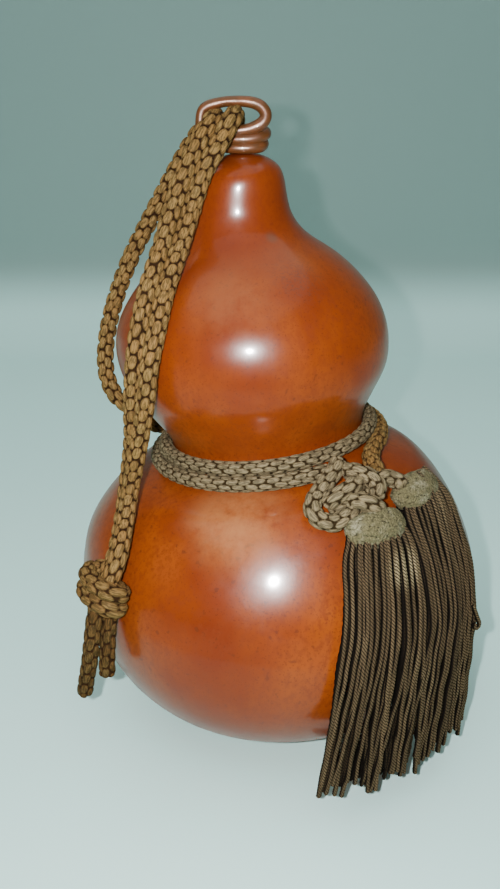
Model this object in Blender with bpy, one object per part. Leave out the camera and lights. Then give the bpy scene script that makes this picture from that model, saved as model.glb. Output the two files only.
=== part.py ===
"""A dried bottle gourd standing on its lower bulb, with a hanging loop on its neck, a braided
cord that hangs from the loop, a thinner cord bound round the waist and two tassels knotted to it.

The origin is the middle of the small flat that the gourd stands on. +Z is up and -Y is the front.
The route points and sizes below are in millimetres.
"""

from math import cos, pi, radians, sin

import bmesh
import bpy
from mathutils import Matrix, Vector

MM = 0.001
GAP = 0.3

# The gourd: a lower bulb with a superellipse outline up to its widest ring, then a smooth outline
BULB_RADIUS = 85.0
BULB_HEIGHT = 68.0
BULB_HALF = 70.0
BULB_POWER = 2.23
GOURD_SIDES = 40
BASE_RINGS = 8
OUTLINE = (  # height, radius
    (68, 85.0), (82, 81.8), (95, 75.5), (107.5, 66.0), (115, 56.5), (118.2, 46.5), (121.5, 41.0),
    (126, 39.5), (132, 40.6), (141, 45.8), (152, 51.9), (164, 53.8), (175, 51.5), (184.5, 45.8),
    (194, 37.0), (203, 25.6), (211, 20.4), (219, 17.9), (226, 15.9), (230, 13.1), (232.2, 9.8),
    (233.1, 7.0),
)
NECK_TOP, NECK_TIP_RADIUS = 234.0, 1.5
# The middle line leans and its sections tilt: height, sideways shift, tilt in radians, lean back
SPINE = (
    (0, 0.0, 0.0, 0.0), (68, 3.9, -0.05, 0.0), (126, -1.6, 0.13, 0.0), (166, -8.3, 0.09, 0.0),
    (200, -12.3, 0.1, -0.2), (212, -13.3, 0.06, -1.0), (227, -12.3, 0.02, -3.7),
    (234, -10.6, 0.0, -1.2),
)

# The hanging loop is one bent rod: a foot in the neck, two coils and an open eye
ROD_RADIUS = 1.35
ROD_ROUTE = (
    (-9.0, 2.4, 227.5), (-9.0, 2.4, 234.3), (-12.2, 4.0, 236.4), (-17.0, 3.0, 236.2),
    (-20.0, -1.8, 235.6), (-15.5, -6.6, 235.2), (-9.0, -7.0, 235.2), (-4.6, -4.0, 236.1),
    (-4.8, 1.4, 237.6), (-10.5, 4.8, 239.6), (-17.5, 3.2, 239.0), (-20.4, -2.0, 238.5),
    (-15.5, -6.6, 238.1), (-9.0, -7.2, 238.2), (-4.2, -5.0, 239.3), (-3.4, 0.6, 240.5),
    (-6.8, 6.6, 240.4), (-13.5, 8.0, 239.6), (-20.0, 5.6, 239.0), (-22.8, 0.4, 238.6),
    (-20.4, -5.2, 239.4), (-14.5, -7.2, 240.7), (-8.4, -7.4, 241.7), (-4.2, -7.2, 243.7),
    (-3.2, -6.7, 246.6), (-5.8, -6.2, 249.5), (-11.5, -5.8, 250.6), (-18.8, -5.2, 250.3),
    (-25.3, -4.8, 248.2), (-26.7, -4.4, 243.0), (-26.6, -3.0, 238.8), (-24.6, 0.8, 236.0),
)
ROD_STEP = 2.4
FOOT_HOLE, DRILL_LENGTH, DRILL_SIDES = 2.1, 20.0, 16

# The thick cord hangs from the eye as two lengths that end in one knot
CORD_RADIUS = 3.1
CORD_STEP = 15.0
LEFT_FRONT = (
    (-21.0, -5.5, 245.0), (-22.3, -11.8, 243.3), (-26.2, -16.8, 236.6), (-30.6, -20.2, 227.0),
    (-34.8, -22.8, 215.6), (-39.1, -28.2, 202.2), (-43.6, -36.0, 189.5), (-46.9, -41.2, 176.8),
    (-49.1, -43.0, 165.2), (-50.9, -41.3, 151.2), (-52.6, -38.2, 135.2), (-56.0, -36.8, 118.4),
    (-57.9, -41.6, 105.9), (-60.1, -52.4, 96.8),
)
LEFT_BACK = (
    (-21.0, 0.5, 245.3), (-23.4, 5.6, 244.6), (-31.0, 9.6, 236.4), (-41.2, 10.4, 220.5),
    (-48.6, 10.4, 208.0), (-55.8, 10.6, 195.5), (-62.2, 9.8, 181.0), (-66.6, 8.0, 167.0),
    (-68.4, 6.0, 154.5), (-67.4, 4.4, 145.0), (-63.4, 4.4, 137.0), (-57.0, 8.6, 131.0),
)
RIGHT_FRONT = (
    (-14.2, -6.8, 246.1), (-15.4, -13.8, 243.9), (-19.2, -17.2, 236.4), (-23.9, -20.0, 227.2),
    (-27.9, -21.0, 215.6), (-32.4, -27.0, 202.0), (-37.1, -36.6, 189.6), (-40.6, -43.8, 177.0),
    (-43.2, -46.8, 165.6), (-45.4, -45.8, 151.6), (-48.8, -43.6, 135.6), (-52.8, -42.6, 119.0),
    (-54.8, -47.8, 107.0), (-56.1, -58.2, 98.4),
)
RIGHT_BACK_TOP = (
    (-14.2, 0.5, 246.2), (-14.2, 9.6, 246.1), (-13.8, 16.6, 240.4), (-13.2, 19.8, 227.0),
)
# Down the back of the upper bulb: azimuth, height, clearance from the skin
RIGHT_BACK_BULB = (
    (178, 213, 4.6), (176, 200, 4.0), (174, 187, 4.0), (173, 175, 4.0), (172, 163, 4.2),
    (170, 151, 5.6),
)
# Round the waist, as the cord's own section: azimuth, radius, height
LEFT_TUCK = ((-108, 50.4, 127.8), (-122, 50.0, 127.4))
RIGHT_WAIST = (
    (167, 51.0, 133.0), (159, 49.4, 126.4), (146, 47.2, 122.4), (120, 46.8, 122.0),
    (95, 46.6, 122.0), (72, 46.6, 122.0), (60, 47.0, 121.8), (50, 50.0, 120.8),
)

# The waist band is a thinner cord bound tight, nearly twice round
BAND_RADIUS = 2.4
BAND_STEP_DEG = 15
LOWER_ROW = (46.6, 121.9)
UPPER_ROW = (42.6, 126.4)
BAND_START, BAND_STEP_UP, BAND_STEP_END, BAND_END = 28, -168, -202, -528

# The knot under the front cords, wound round both of them, and the two cut ends below it
END_KNOT_PLACE = (-46.8, 83.0, 8.3)
END_KNOT_TURNS, END_KNOT_FROM, END_KNOT_STEPS = 1.7, 0.6, 10
END_KNOT_WIDE, END_KNOT_DEEP, END_KNOT_PITCH = 8.0, 4.4, 6.5
END_KNOT_CORE = (7.4, 4.6, 6.0)
LEFT_END = (
    (-65.6, -64.6, 74.6), (-67.0, -65.2, 66.0), (-69.0, -64.0, 55.0), (-71.3, -61.8, 45.4),
    (-72.6, -60.0, 38.8),
)
RIGHT_END = (
    (-60.2, -60.8, 76.2), (-61.4, -61.2, 68.0), (-62.5, -61.4, 58.0), (-63.2, -61.0, 48.0),
)

# The waist knot: a hanging bight, two crossing strands and the short link to the second tassel
KNOT_RADIUS = 2.8
KNOT_STEP = 6.0
BIGHT = (
    (24.5, -52.6, 128.4), (18.6, -53.0, 126.4), (13.8, -55.6, 122.8), (12.0, -59.0, 118.8),
    (14.4, -62.8, 115.8), (19.2, -64.6, 114.6), (23.6, -63.0, 116.2), (26.4, -59.2, 119.4),
    (28.4, -55.0, 122.8),
)
CROSSING = (
    (14.6, -50.6, 125.8), (20.0, -54.6, 128.0), (26.0, -57.4, 127.0), (31.4, -58.8, 123.4),
)
RETURN = (
    (36.0, -47.6, 125.4), (32.0, -53.0, 127.2), (26.0, -58.8, 122.6), (20.0, -60.0, 119.6),
)
LINK = (
    (31.0, -55.4, 122.6), (36.0, -51.8, 124.0), (39.4, -49.4, 125.2), (42.2, -47.8, 125.6),
)

# The tassels: azimuth and height of the head, and azimuth and half width of the skirt's widest ring
STRING_RADIUS = 1.3
STRING_SIDES = 5
SHEET_THICK = 4.0
SHEET_CLEAR = 0.8
SHEET_END = 14.0
SHEET_ACROSS = (-0.9, -0.45, 0.0, 0.45, 0.9)
STRINGS = 14
STRING_STEPS, SHEET_STEPS = 10, 12
STRING_UNEVEN, STRING_SUNK = 5.0, (0.1, 0.3)  # how far the ends differ, how far strings sink in
HEAD_SPREAD = 0.72
HEAD_SIZE = (9.8, 7.4, 6.0)
TASSELS = {  # sway and fan turn and widen the free ends, in degrees
    "tassel_front": dict(head=(27.3, 104.2), skirt=(22.3, 10.6), ends=16.0, sway=-3.5, fan=0.5),
    "tassel_back": dict(head=(48.2, 109.2), skirt=(45.3, 9.8), ends=19.0, sway=-3.5, fan=0.3),
}

COLOURS = {
    "gourd": ((0.42, 0.09, 0.015), 0.22, 0.0),
    "loop": ((0.50, 0.17, 0.05), 0.25, 1.0),
    "cord": ((0.27, 0.17, 0.08), 0.8, 0.0),
    "band": ((0.19, 0.15, 0.09), 0.85, 0.0),
    "tassel": ((0.10, 0.075, 0.045), 0.8, 0.0),
}


def clear_scene():
    for thing in list(bpy.data.objects):
        bpy.data.objects.remove(thing)


def material(name):
    """The named Principled material, made once."""
    found = bpy.data.materials.get(name)
    if found:
        return found
    colour, roughness, metallic = COLOURS[name]
    made = bpy.data.materials.new(name)
    made.use_nodes = True
    shader = made.node_tree.nodes["Principled BSDF"]
    shader.inputs["Base Color"].default_value = (*colour, 1.0)
    shader.inputs["Roughness"].default_value = roughness
    shader.inputs["Metallic"].default_value = metallic
    return made


def read_table(table, where, column):
    """A smooth curve through a column of a table, read at a value of the table's first column."""
    keys = [row[0] for row in table]
    values = [row[column] for row in table]
    where = min(max(where, keys[0]), keys[-1])
    i = max(k for k in range(len(keys) - 1) if keys[k] <= where)

    def slope(k):
        low, high = max(k - 1, 0), min(k + 1, len(keys) - 1)
        return (values[high] - values[low]) / (keys[high] - keys[low])

    span = keys[i + 1] - keys[i]
    t = (where - keys[i]) / span
    rise, fall = slope(i) * span, slope(i + 1) * span
    step = values[i + 1] - values[i]
    return values[i] + t * (rise + t * (3 * step - 2 * rise - fall + t * (rise + fall - 2 * step)))


def skin_radius(height):
    """The gourd's radius in the section that leaves its middle line at this height."""
    if height >= BULB_HEIGHT:
        return read_table(OUTLINE, height, 1)
    share = (BULB_HEIGHT - max(height, 0.0)) / BULB_HALF
    return BULB_RADIUS * (1 - share**BULB_POWER) ** (1 / BULB_POWER)


def ring_point(azimuth, radius, height):
    """A point of a tilted section. Azimuth 0 is the front and 90 the right, in degrees."""
    shift, tilt, lean = (read_table(SPINE, height, column) for column in (1, 2, 3))
    across, deep = radius * sin(radians(azimuth)), lean - radius * cos(radians(azimuth))
    return Vector((shift + across * cos(tilt), deep, height + across * sin(tilt)))


def skin_point(azimuth, height, clear):
    """A point at this clearance from the skin, measured square to the outline."""
    slope = (skin_radius(height + 1) - skin_radius(height - 1)) / 2
    square = Vector((1.0, -slope)).normalized()
    return ring_point(azimuth, skin_radius(height) + clear * square.x, height + clear * square.y)


def curve_points(route, step):
    """Evenly spaced points of a smooth curve through a route's points, a step apart."""
    points = [Vector(p) for p in route]
    padded = [2 * points[0] - points[1], *points, 2 * points[-1] - points[-2]]
    fine = []
    for a, b, c, d in zip(padded, padded[1:], padded[2:], padded[3:]):
        for k in range(12):
            t = k / 12
            bend = (2 * a - 5 * b + 4 * c - d) * t * t + (3 * b - 3 * c + d - a) * t**3
            fine.append((2 * b + (c - a) * t + bend) / 2)
    fine.append(points[-1])
    run = [0.0]
    for a, b in zip(fine, fine[1:]):
        run.append(run[-1] + (b - a).length)
    count = max(2, round(run[-1] / step))
    even, k = [], 0
    for i in range(count + 1):
        goal = run[-1] * i / count
        while k < len(run) - 2 and run[k + 1] < goal:
            k += 1
        even.append(fine[k].lerp(fine[k + 1], (goal - run[k]) / (run[k + 1] - run[k])))
    return even


def tube(name, points, radius, look, resolution=2):
    """A round tube along the points, as a curve with filled ends."""
    curve = bpy.data.curves.new(name, "CURVE")
    curve.dimensions = "3D"
    curve.bevel_depth = radius * MM
    curve.bevel_resolution = resolution
    curve.use_fill_caps = True
    spline = curve.splines.new("POLY")
    spline.points.add(len(points) - 1)
    for spot, point in zip(spline.points, points):
        spot.co = (*(point * MM), 1.0)
    made = bpy.data.objects.new(name, curve)
    bpy.context.collection.objects.link(made)
    curve.materials.append(material(look))
    return made


def mesh_object(name, bm, look):
    bmesh.ops.recalc_face_normals(bm, faces=bm.faces[:])
    mesh = bpy.data.meshes.new(name)
    bm.to_mesh(mesh)
    bm.free()
    mesh.shade_smooth()
    mesh.materials.append(material(look))
    made = bpy.data.objects.new(name, mesh)
    bpy.context.collection.objects.link(made)
    return made


def bridge(bm, rings):
    """Faces between rings of points, with both ends closed."""
    loops = [[bm.verts.new(point * MM) for point in ring] for ring in rings]
    for low, high in zip(loops, loops[1:]):
        for k in range(len(low)):
            following = (k + 1) % len(low)
            bm.faces.new((low[k], low[following], high[following], high[k]))
    bm.faces.new(loops[0][::-1])
    bm.faces.new(loops[-1])


def apply_modifiers(thing):
    """Turn an object into the plain mesh that its modifiers or its curve give."""
    graph = bpy.context.evaluated_depsgraph_get()
    mesh = bpy.data.meshes.new_from_object(thing.evaluated_get(graph))
    made = bpy.data.objects.new(thing.name + "_mesh", mesh)
    bpy.context.collection.objects.link(made)
    name = thing.name
    bpy.data.objects.remove(thing)
    made.name = name
    return made


def join(name, base, others):
    """One body from a base and the shapes that overlap it, by one union on their collection."""
    group = bpy.data.collections.new(name + "_parts")
    for other in others:
        solid = apply_modifiers(other) if other.type == "CURVE" else other
        bpy.context.collection.objects.unlink(solid)
        group.objects.link(solid)
    if base.type == "CURVE":
        base = apply_modifiers(base)
    base.name = name
    union = base.modifiers.new("union", "BOOLEAN")
    union.operation = "UNION"
    union.operand_type = "COLLECTION"
    union.collection = group
    joined = apply_modifiers(base)
    for solid in list(group.objects):
        bpy.data.objects.remove(solid)
    bpy.data.collections.remove(group)
    fill_hollows(joined.data)


def fill_hollows(mesh):
    """Keep a body's outer shell and drop the small shells of the hollows shut up inside it."""
    bm = bmesh.new()
    bm.from_mesh(mesh)
    left, shells = set(bm.verts), []
    while left:
        shell, edge = set(), {left.pop()}
        while edge:
            shell |= edge
            edge = {e.other_vert(v) for v in edge for e in v.link_edges} - shell
        shells.append(shell)
        left -= shell
    outer = max(shells, key=len)
    bmesh.ops.delete(bm, geom=[v for v in bm.verts if v not in outer], context="VERTS")
    bm.to_mesh(mesh)
    bm.free()


def make_gourd():
    """The gourd, one solid body, with the hole in the neck that holds the loop's foot."""
    heights = [BULB_HEIGHT * (1 - cos(pi / 2 * k / BASE_RINGS)) for k in range(BASE_RINGS)]
    heights += [height for height, _ in OUTLINE]
    turns = [360 * k / GOURD_SIDES for k in range(GOURD_SIDES)]
    rings = [[ring_point(a, skin_radius(h), h) for a in turns] for h in heights]
    rings.append([ring_point(a, NECK_TIP_RADIUS, NECK_TOP) for a in turns])
    bm = bmesh.new()
    bridge(bm, rings)
    gourd = mesh_object("gourd", bm, "gourd")

    foot = Vector(ROD_ROUTE[0])
    bm = bmesh.new()
    place = Matrix.Translation((foot + Vector((0, 0, DRILL_LENGTH / 2 - GAP))) * MM)
    bmesh.ops.create_cone(
        bm, cap_ends=True, segments=DRILL_SIDES, radius1=FOOT_HOLE * MM, radius2=FOOT_HOLE * MM,
        depth=DRILL_LENGTH * MM, matrix=place,
    )
    drill = mesh_object("foot_hole", bm, "gourd")
    drill.hide_render = True
    drill.display_type = "WIRE"
    hole = gourd.modifiers.new("foot hole", "BOOLEAN")
    hole.object = drill


def make_loop():
    tube("hanging_loop", curve_points(ROD_ROUTE, ROD_STEP), ROD_RADIUS, "loop")


def left_route():
    """From behind the waist on the left, up to the eye and down the front."""
    tuck = [ring_point(*spot) for spot in LEFT_TUCK]
    return tuck[::-1] + [Vector(p) for p in LEFT_BACK[::-1] + LEFT_FRONT]


def right_route():
    """From the waist knot, round the right side and up the back to the eye, then down the front."""
    waist = [ring_point(*spot) for spot in RIGHT_WAIST]
    bulb = [skin_point(*spot) for spot in RIGHT_BACK_BULB]
    top = [Vector(p) for p in RIGHT_BACK_TOP]
    return waist[::-1] + bulb[::-1] + top[::-1] + [Vector(p) for p in RIGHT_FRONT]


def make_cords():
    tube("cord_left", curve_points(left_route(), CORD_STEP), CORD_RADIUS, "cord")
    tube("cord_right", curve_points(right_route(), CORD_STEP), CORD_RADIUS, "cord")
    tube("cord_end_left", curve_points(LEFT_END, CORD_STEP), CORD_RADIUS, "cord")
    tube("cord_end_right", curve_points(RIGHT_END, CORD_STEP), CORD_RADIUS, "cord")


def band_point(azimuth):
    """The band's middle line: the lower row, a step up behind the waist, then the upper row."""
    t = min(max((BAND_STEP_UP - azimuth) / (BAND_STEP_UP - BAND_STEP_END), 0.0), 1.0)
    t = t * t * (3 - 2 * t)
    radius, height = (a + (b - a) * t for a, b in zip(LOWER_ROW, UPPER_ROW))
    return ring_point(azimuth, radius, height)


def make_band():
    count = round((BAND_START - BAND_END) / BAND_STEP_DEG)
    turns = [BAND_START + (BAND_END - BAND_START) * k / count for k in range(count + 1)]
    tube("waist_band", [band_point(a) for a in turns], BAND_RADIUS, "band")


def knot_frame(azimuth, height, clear):
    """Axes at a place over the skin: right along the skin, out from it and up along it."""
    middle = skin_point(azimuth, height, clear)
    out = (middle - skin_point(azimuth, height, 0)).normalized()
    right = Vector((cos(radians(azimuth)), sin(radians(azimuth)), 0.0))
    return middle, right, out, out.cross(right) * -1


def ellipsoid(name, middle, axes, size, look):
    bm = bmesh.new()
    bmesh.ops.create_uvsphere(bm, u_segments=12, v_segments=8, radius=1.0)
    for vert in bm.verts:
        spot = sum((axis * (c * s) for axis, c, s in zip(axes, vert.co, size)), Vector())
        vert.co = (middle + spot) * MM
    return mesh_object(name, bm, look)


def make_end_knot():
    """The knot as a flattened coil of cord round a core."""
    middle, right, out, up = knot_frame(*END_KNOT_PLACE)
    coil = []
    for k in range(round(END_KNOT_TURNS * END_KNOT_STEPS) + 1):
        turned = k / END_KNOT_STEPS
        turn = 2 * pi * turned + END_KNOT_FROM
        rise = END_KNOT_PITCH * (turned - END_KNOT_TURNS / 2)
        side = right * (END_KNOT_WIDE * cos(turn)) - out * (END_KNOT_DEEP * sin(turn))
        coil.append(middle + side + up * rise)
    wrap = tube("end_wrap", coil, CORD_RADIUS, "cord")
    core = ellipsoid("end_core", middle, (right, out, up), END_KNOT_CORE, "cord")
    join("end_knot", core, [wrap])


def make_waist_knot():
    routes = {"bight": BIGHT, "crossing": CROSSING, "return": RETURN, "link": LINK}
    strands = [
        tube("knot_" + name, curve_points(route, KNOT_STEP), KNOT_RADIUS, "band")
        for name, route in routes.items()
    ]
    join("waist_knot", strands[0], strands[1:])


def string_point(tassel, across, height, clear):
    """A place on a tassel's skirt. Across runs from -1 to 1, and height from the head down."""
    head_azimuth, head_height = tassel["head"]
    middle, half = tassel["skirt"]
    fall = min(max((head_height - height) / (head_height - BULB_HEIGHT), 0.0), 1.0)
    spread = half * (HEAD_SPREAD + (1 - HEAD_SPREAD) * min(1.0, 1.5 * fall))
    low = max(0.0, 1 - height / BULB_HEIGHT)
    azimuth = head_azimuth + (middle - head_azimuth) * fall + tassel["sway"] * low
    azimuth += across * (spread + tassel["fan"] * low)
    if height > BULB_HEIGHT:
        return skin_point(azimuth, height, clear)
    hang = ring_point(azimuth, BULB_RADIUS + clear, BULB_HEIGHT)
    return hang + Vector((0.0, 0.0, height - BULB_HEIGHT))


def string_heights(top, bottom, count):
    return [top + (bottom - top) * k / (count - 1) for k in range(count)]


def make_tassel(name, tassel):
    """A capped head, a sheet that stands for the inner strings and a row of outer strings."""
    top = tassel["head"][1]
    sheet = bmesh.new()
    rings = []
    for height in string_heights(top, tassel["ends"] + SHEET_END, SHEET_STEPS):
        edge = [string_point(tassel, a, height, SHEET_CLEAR) for a in SHEET_ACROSS]
        edge += [string_point(tassel, -a, height, SHEET_CLEAR + SHEET_THICK) for a in SHEET_ACROSS]
        rings.append(edge)
    bridge(sheet, rings)
    sheet = mesh_object(name + "_sheet", sheet, "tassel")
    parts = []
    for k in range(STRINGS):
        across = 2 * k / (STRINGS - 1) - 1
        end = tassel["ends"] + STRING_UNEVEN * (0.5 + 0.5 * sin(2.4 * k * k))
        clear = SHEET_CLEAR + SHEET_THICK - STRING_SUNK[0] - STRING_SUNK[1] * (k % 2)
        heights = string_heights(top + 1, end, STRING_STEPS)
        route = [string_point(tassel, across, height, clear) for height in heights]
        bm = bmesh.new()
        rings = []
        for a, here, b in zip(route[:1] + route, route, route[1:] + route[-1:]):
            along = (b - a).normalized()
            side = along.cross(Vector((0, 0, 1)) if abs(along.z) < 0.9 else Vector((1, 0, 0)))
            side.normalize()
            other = along.cross(side)
            turns = [2 * pi * i / STRING_SIDES for i in range(STRING_SIDES)]
            rings.append([here + (side * cos(t) + other * sin(t)) * STRING_RADIUS for t in turns])
        bridge(bm, rings)
        parts.append(mesh_object(f"{name}_string_{k:02d}", bm, "tassel"))
    middle, right, out, up = knot_frame(*tassel["head"], SHEET_CLEAR + HEAD_SIZE[2])
    parts.append(ellipsoid(name + "_head", middle, (right, up, out), HEAD_SIZE, "tassel"))
    join(name, sheet, parts)


def main():
    clear_scene()
    make_gourd()
    make_loop()
    make_cords()
    make_band()
    make_end_knot()
    make_waist_knot()
    for name, tassel in TASSELS.items():
        make_tassel(name, tassel)


main()
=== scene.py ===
"""The looks of a dried bottle gourd with a hanging loop, braided cords, a waist band and tassels.

The frame's units are metres. +Z is up and -Y is the front. Route points are in millimetres here
and repeat the CAD model's own.
"""

from math import cos, exp, pi, radians, sin

import bmesh
import bpy
import numpy as np
from bpy.props import FloatProperty, FloatVectorProperty, IntProperty, PointerProperty
from bpy.types import Operator, Panel, PropertyGroup
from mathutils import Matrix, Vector


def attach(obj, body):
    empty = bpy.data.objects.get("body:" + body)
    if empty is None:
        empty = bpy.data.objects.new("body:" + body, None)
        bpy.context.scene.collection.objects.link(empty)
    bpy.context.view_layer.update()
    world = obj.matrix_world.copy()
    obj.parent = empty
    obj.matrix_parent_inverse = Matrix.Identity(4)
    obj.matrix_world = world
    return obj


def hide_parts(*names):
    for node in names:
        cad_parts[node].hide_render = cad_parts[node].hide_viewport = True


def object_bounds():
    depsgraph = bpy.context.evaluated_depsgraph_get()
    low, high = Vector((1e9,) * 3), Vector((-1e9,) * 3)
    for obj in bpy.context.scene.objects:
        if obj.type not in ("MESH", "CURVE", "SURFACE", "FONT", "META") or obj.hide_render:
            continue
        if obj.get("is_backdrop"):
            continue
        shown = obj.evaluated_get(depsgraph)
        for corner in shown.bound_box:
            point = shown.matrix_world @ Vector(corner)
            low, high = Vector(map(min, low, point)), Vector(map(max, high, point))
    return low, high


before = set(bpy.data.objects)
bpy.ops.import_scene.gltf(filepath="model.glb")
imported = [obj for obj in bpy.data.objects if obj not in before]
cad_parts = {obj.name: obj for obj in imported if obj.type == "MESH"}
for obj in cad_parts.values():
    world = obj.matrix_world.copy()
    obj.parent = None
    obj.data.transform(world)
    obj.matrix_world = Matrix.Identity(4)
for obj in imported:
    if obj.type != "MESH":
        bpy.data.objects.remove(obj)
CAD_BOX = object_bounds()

bl_info = {
    "name": "Dried bottle gourd",
    "version": (1, 0, 0),
    "blender": (4, 5, 0),
    "location": "View3D > Sidebar > Gourd",
    "description": "Builds a dried bottle gourd with its loop, cords, waist band and tassels",
    "category": "Add Mesh",
}

MM = 0.001
BODY = "root"

# The gourd's outline: a superellipse up to the lower bulb's widest ring, then these rings
BULB_RADIUS, BULB_HEIGHT, BULB_HALF, BULB_POWER = 85.0, 68.0, 70.0, 2.23
OUTLINE = (  # height, radius
    (68, 85.0), (82, 81.8), (95, 75.5), (107.5, 66.0), (115, 56.5), (118.2, 46.5), (121.5, 41.0),
    (126, 39.5), (132, 40.6), (141, 45.8), (152, 51.9), (164, 53.8), (175, 51.5), (184.5, 45.8),
    (194, 37.0), (203, 25.6), (211, 20.4), (219, 17.9), (226, 15.9), (230, 13.1), (232.2, 9.8),
    (233.1, 7.0),
)
NECK_TOP, NECK_END_RADIUS = 234.0, 1.5
FOOT_RADII = (8.0, 18.0)  # rings of the flat foot
RINGS_BELOW, RINGS_ABOVE = 20, 58  # below the lower bulb's widest ring and from it up
SPINE = (  # height, sideways shift, tilt in radians, lean back
    (0, 0.0, 0.0, 0.0), (68, 3.9, -0.05, 0.0), (126, -1.6, 0.13, 0.0), (166, -8.3, 0.09, 0.0),
    (200, -12.3, 0.1, -0.2), (212, -13.3, 0.06, -1.0), (227, -12.3, 0.02, -3.7),
    (234, -10.6, 0.0, -1.2),
)
# Places on the skin: a dark spot, a scuffed patch, and pale patches that are partly wear and partly
# a painted reflection of the overhead light
NECK_MARK = (-1.0, -21.6, 205.9)
SCUFFS = (8.0, -34.0, 193.0)
WORN_SKIN_AND_SHEEN = (  # place, full within, none beyond, share
    ((-14.0, -57.0, 114.0), 4.0, 27.0, 0.66), ((-14.0, -40.0, 186.0), 3.0, 24.0, 0.2),
    ((6.0, -28.0, 198.0), 2.0, 16.0, 0.15),
)

ROD_RADIUS = 1.75
ROD_BEND, ROD_BEND_REACH, ROD_BEND_SWELL = -3.0, 6.0, 0.26  # where in x it is thicker
ROD_ROUTE = (  # from its foot in the neck, round the neck's top and over the eye
    (-9.0, 2.4, 227.5), (-9.0, 2.4, 234.3), (-12.2, 4.0, 236.4), (-17.0, 3.0, 236.2),
    (-20.0, -1.8, 235.6), (-15.5, -6.6, 235.2), (-9.0, -7.0, 235.2), (-4.6, -4.0, 236.1),
    (-4.8, 1.4, 237.6), (-10.5, 4.8, 239.6), (-17.5, 3.2, 239.0), (-20.4, -2.0, 238.5),
    (-15.5, -6.6, 238.1), (-9.0, -7.2, 238.2), (-4.2, -5.0, 239.3), (-3.4, 0.6, 240.5),
    (-6.8, 6.6, 240.4), (-13.5, 8.0, 239.6), (-20.0, 5.6, 239.0), (-22.8, 0.4, 238.6),
    (-20.4, -5.2, 239.4), (-14.5, -7.2, 240.7), (-8.4, -7.4, 241.7), (-4.2, -7.2, 243.7),
    (-3.2, -6.7, 246.6), (-5.8, -6.2, 249.5), (-11.5, -5.8, 250.6), (-18.8, -5.2, 250.3),
    (-25.3, -4.8, 248.2), (-26.7, -4.4, 243.0), (-26.6, -3.0, 238.8), (-24.6, 0.8, 236.0),
)
FOOT_HOLE = 2.1  # radius of the hole for the loop's foot

# The thick cords from the eye: down the front to the knot, and round the back
LEFT_FRONT = (
    (-21.0, -5.5, 245.0), (-22.5, -11.8, 243.3), (-26.8, -16.8, 236.6), (-31.3, -20.4, 227.0),
    (-35.6, -23.4, 215.6), (-39.9, -28.6, 202.2), (-44.1, -36.2, 189.5), (-47.0, -41.3, 176.8),
    (-48.9, -43.0, 165.2), (-50.6, -41.3, 151.2), (-51.9, -38.2, 135.2), (-54.8, -36.8, 118.4),
    (-56.6, -42.0, 105.6), (-58.0, -52.4, 96.6), (-61.2, -59.2, 88.6), (-62.8, -62.2, 83.0),
)
LEFT_BACK = (
    (-21.0, 0.5, 245.3), (-23.4, 5.6, 244.6), (-31.0, 9.6, 236.4), (-41.2, 10.4, 220.5),
    (-48.6, 10.4, 208.0), (-55.8, 10.6, 195.5), (-62.2, 9.8, 181.0), (-66.6, 8.0, 167.0),
    (-68.4, 6.0, 154.5), (-67.4, 4.4, 145.0), (-63.4, 4.4, 137.0), (-57.0, 8.6, 131.0),
)
RIGHT_FRONT = (
    (-14.2, -6.8, 246.1), (-15.4, -13.8, 243.9), (-19.6, -17.2, 236.4), (-24.9, -20.2, 227.2),
    (-29.1, -21.4, 215.6), (-33.5, -27.4, 202.0), (-37.7, -36.8, 189.6), (-40.6, -43.8, 177.0),
    (-43.2, -46.8, 165.6), (-45.4, -45.8, 151.6), (-48.8, -43.6, 135.6), (-52.8, -42.6, 119.0),
    (-54.8, -47.8, 107.0), (-56.1, -58.2, 98.4), (-58.8, -62.0, 90.6), (-60.4, -62.8, 84.0),
)
RIGHT_BACK_TOP = (
    (-14.2, 0.5, 246.2), (-14.2, 9.6, 246.1), (-13.8, 16.6, 240.4), (-13.2, 19.8, 227.0),
)
RIGHT_BACK_BULB = (  # azimuth, height, clearance from the skin
    (178, 213, 4.6), (176, 200, 4.0), (174, 187, 4.0), (173, 175, 4.0), (172, 163, 4.2),
    (170, 151, 5.6),
)
LEFT_TUCK = ((-108, 50.4, 127.8), (-122, 50.0, 127.4))  # azimuth, radius, height
RIGHT_WAIST = (
    (167, 51.0, 133.0), (159, 49.4, 126.4), (146, 47.2, 122.4), (120, 46.8, 122.0),
    (95, 46.6, 122.0), (72, 46.6, 122.0), (60, 47.0, 121.8), (50, 50.0, 120.8),
)
RIGHT_START = (  # at the waist knot
    (37.9, -41.6, 124.2), (36.4, -47.4, 122.6),
)
LEFT_END = (
    (-64.0, -63.0, 83.0), (-65.6, -64.6, 74.6), (-67.0, -65.2, 66.0), (-69.0, -64.0, 55.0),
    (-71.3, -61.8, 45.4), (-72.6, -60.0, 38.8),
)
RIGHT_END = (
    (-59.0, -60.8, 84.0), (-60.2, -60.8, 76.2), (-61.4, -61.2, 68.0), (-62.5, -61.4, 58.0),
    (-63.2, -61.0, 48.0),
)

# The band's rows, each with its radius and height, and the azimuths where it changes rows
LOWER_ROW, UPPER_ROW = (46.6, 121.9), (42.6, 126.4)
BAND_START, BAND_STEP_UP, BAND_STEP_END, BAND_END = 28, -168, -202, -528

END_KNOT_PLACE = (-46.8, 83.0, 8.3)  # azimuth, height, clearance from the skin
END_KNOT_TURNS, END_KNOT_WIDE, END_KNOT_DEEP, END_KNOT_PITCH = 2.0, 8.6, 4.8, 5.6

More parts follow.
